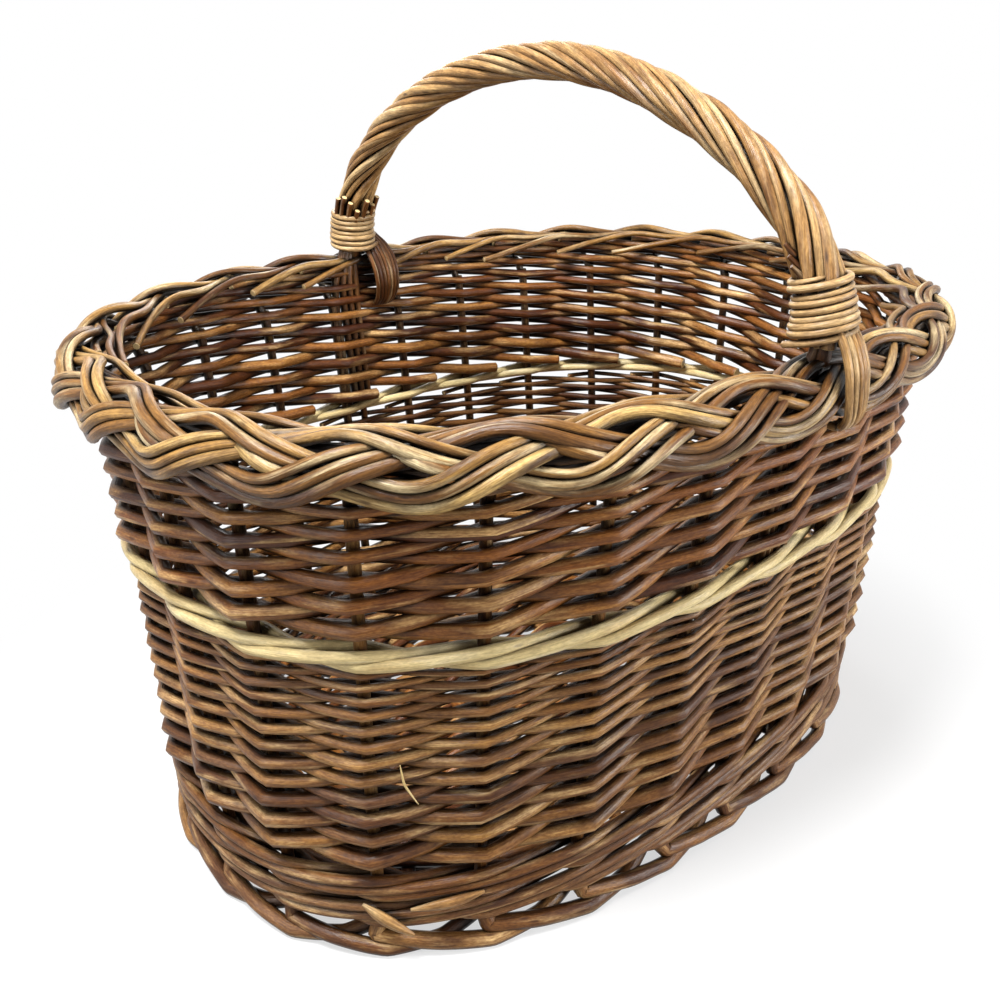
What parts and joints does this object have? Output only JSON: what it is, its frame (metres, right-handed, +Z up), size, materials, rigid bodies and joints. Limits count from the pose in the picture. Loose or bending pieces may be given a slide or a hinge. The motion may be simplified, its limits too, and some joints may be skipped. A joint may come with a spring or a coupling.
{
  "type": "wicker firewood basket",
  "caption": "Oval willow basket with staked woven sides, a pale waled band, an open rod foot, a plaited border and a fixed roped bow handle over the middle.",
  "frame": {"origin": "on the ground under the middle of the basket, in the plane of the handle", "axes": "+X along the oval's length, +Y from the front foot of the handle to the rear foot, +Z up"},
  "size_m": [0.5309, 0.4192, 0.4201],
  "materials": {
    "bark": "natural brown willow bark, satin",
    "weathered": "greyer weathered willow bark, satin",
    "plait": "golden tan willow with dark bark patches, satin",
    "buff": "golden buff willow, satin",
    "peeled": "peeled white willow, satin"
  },
  "bodies": {
    "root": {"stake_1": "weathered", "stake_2": "weathered", "stake_3": "weathered", "stake_4": "weathered", "stake_5": "weathered", "stake_6": "weathered", "stake_7": "weathered", "stake_8": "weathered", "stake_9": "weathered", "stake_10": "weathered", "stake_11": "weathered", "stake_12": "weathered", "stake_13": "weathered", "stake_14": "weathered", "stake_15": "weathered", "stake_16": "weathered", "stake_17": "weathered", "stake_18": "weathered", "stake_19": "weathered", "stake_20": "weathered", "stake_21": "weathered", "stake_22": "weathered", "stake_23": "weathered", "stake_24": "weathered", "stake_25": "weathered", "base_long_stick_1": "bark", "base_long_stick_2": "bark", "base_long_stick_3": "bark", "base_cross_stick_1": "bark", "base_cross_stick_2": "bark", "base_cross_stick_3": "bark", "base_cross_stick_4": "bark", "base_cross_stick_5": "bark", "base_cross_stick_6": "bark", "base_cross_stick_7": "bark", "base_weave_1": "bark", "base_weave_2": "bark", "upsett_wale_1": "weathered", "upsett_wale_2": "weathered", "lower_siding": "weathered", "white_wale": "peeled", "upper_siding": "bark", "border_plait": "plait", "handle_bow": "buff", "handle_rope_rod_1": "buff", "handle_rope_rod_2": "buff", "handle_rope_rod_3": "buff", "handle_rope_rod_4": "buff", "handle_rope_rod_5": "buff", "handle_rope_rod_6": "buff", "handle_rope_rod_7": "buff", "handle_rope_rod_8": "buff", "front_binding": "buff", "rear_binding": "buff", "front_tucked_ends": "buff", "rear_tucked_ends": "buff"}
  },
  "joints": []
}
